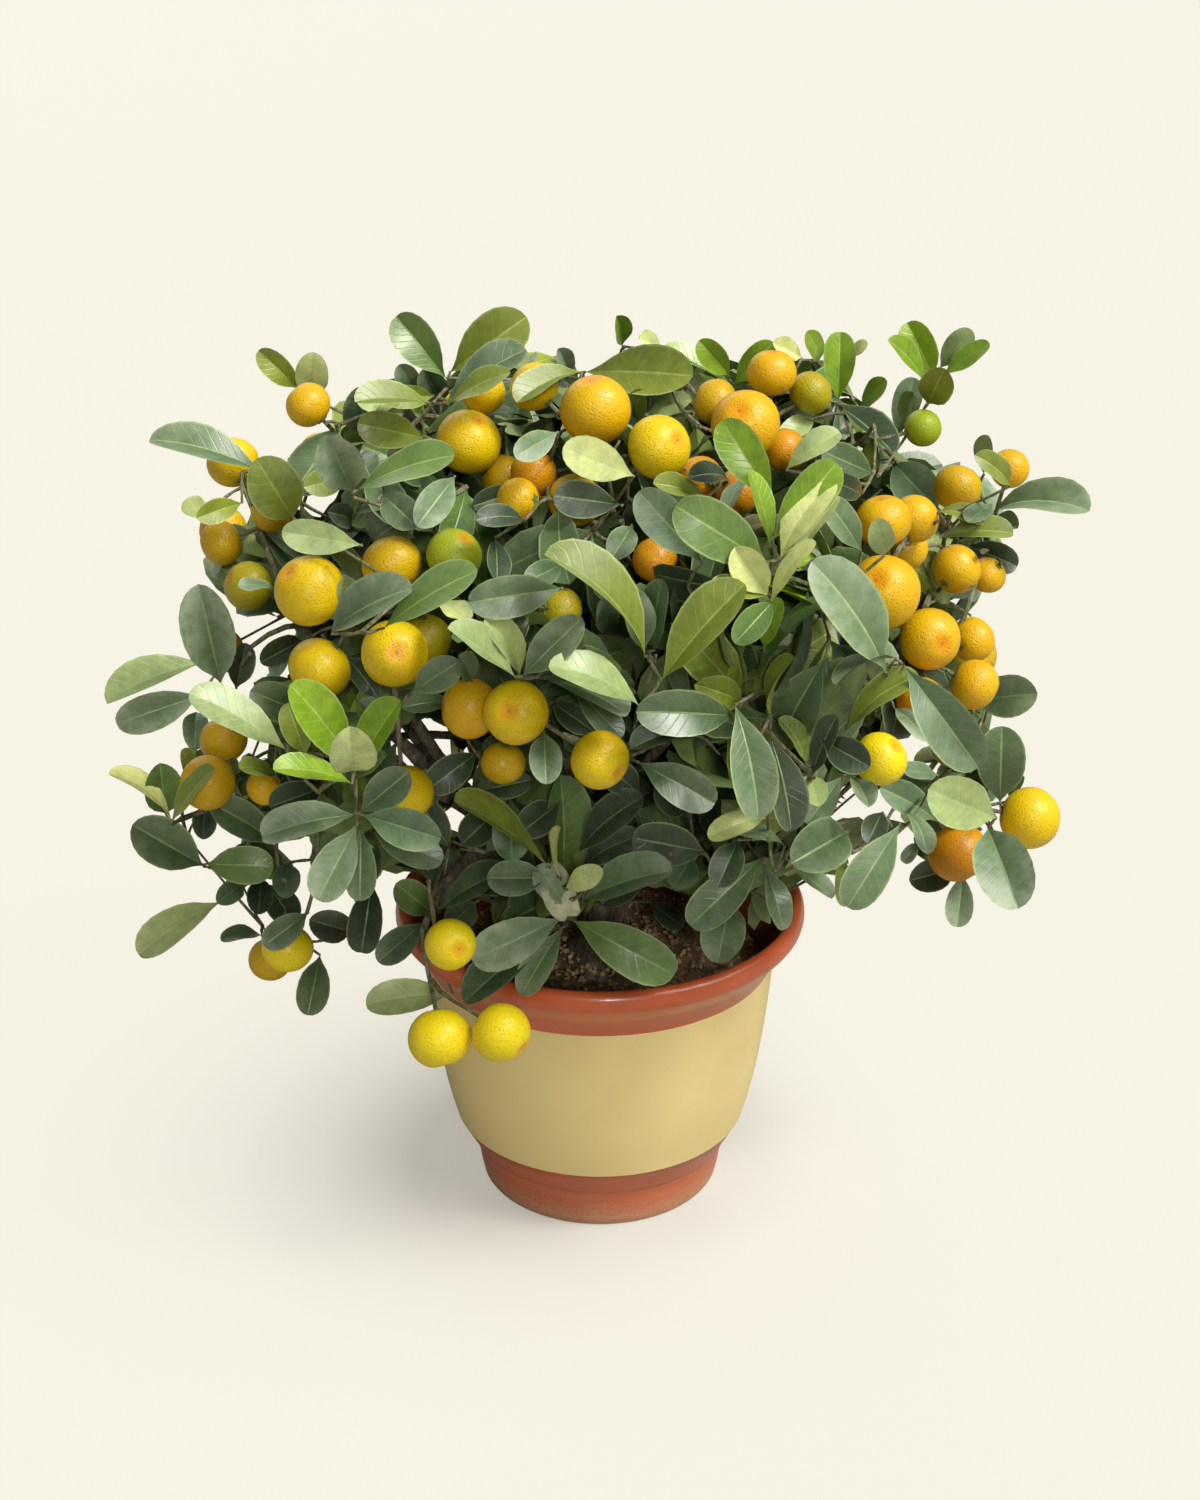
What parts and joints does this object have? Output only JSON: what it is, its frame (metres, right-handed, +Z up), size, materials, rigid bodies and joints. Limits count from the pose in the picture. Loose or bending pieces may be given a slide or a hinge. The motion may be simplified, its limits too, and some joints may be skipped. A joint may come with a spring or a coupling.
{
  "type": "potted four seasons kumquat bush",
  "caption": "Broad evergreen bush full of round yellow fruit, standing in a lipped plastic pot filled with soil.",
  "frame": {"origin": "centre of the pot's flat underside, on the surface the pot stands on", "axes": "+Z up along the pot's axis, +X to the right and +Y away from the picture's camera"},
  "size_m": [0.4965, 0.4282, 0.4616],
  "materials": {
    "pot": "semi-gloss terracotta plastic with a satin cream band round its side",
    "soil": "dark crumbly potting soil",
    "bark": "thin grey-brown bark, green on the youngest twigs",
    "foliage": "leathery green leaves with pale edges, and pored yellow to orange fruit"
  },
  "bodies": {
    "root": {"pot": "pot", "soil": "soil", "trunk": "bark", "leader": "bark", "limb_left": "bark", "limb_right": "bark", "limb_front": "bark", "limb_back": "bark", "bough_top_left": "bark", "bough_top_middle": "bark", "bough_top_right": "bark", "bough_top_back_left": "bark", "bough_top_back_right": "bark", "bough_left": "bark", "bough_front_left": "bark", "bough_front": "bark", "bough_front_right": "bark", "bough_right": "bark", "bough_back_right": "bark", "bough_back": "bark", "bough_back_left": "bark", "bough_low_left": "bark", "bough_low_front_left": "bark", "bough_low_front": "bark", "bough_low_front_right": "bark", "bough_low_right": "bark", "bough_low_back_right": "bark", "bough_low_back": "bark", "bough_low_back_left": "bark", "mass_top_left": "foliage", "mass_top_middle": "foliage", "mass_top_right": "foliage", "mass_top_back_left": "foliage", "mass_top_back_right": "foliage", "mass_left": "foliage", "mass_front_left": "foliage", "mass_front": "foliage", "mass_front_right": "foliage", "mass_right": "foliage", "mass_back_right": "foliage", "mass_back": "foliage", "mass_back_left": "foliage", "mass_low_left": "foliage", "mass_low_front_left": "foliage", "mass_low_front": "foliage", "mass_low_front_right": "foliage", "mass_low_right": "foliage", "mass_low_back_right": "foliage", "mass_low_back": "foliage", "mass_low_back_left": "foliage"}
  },
  "joints": []
}
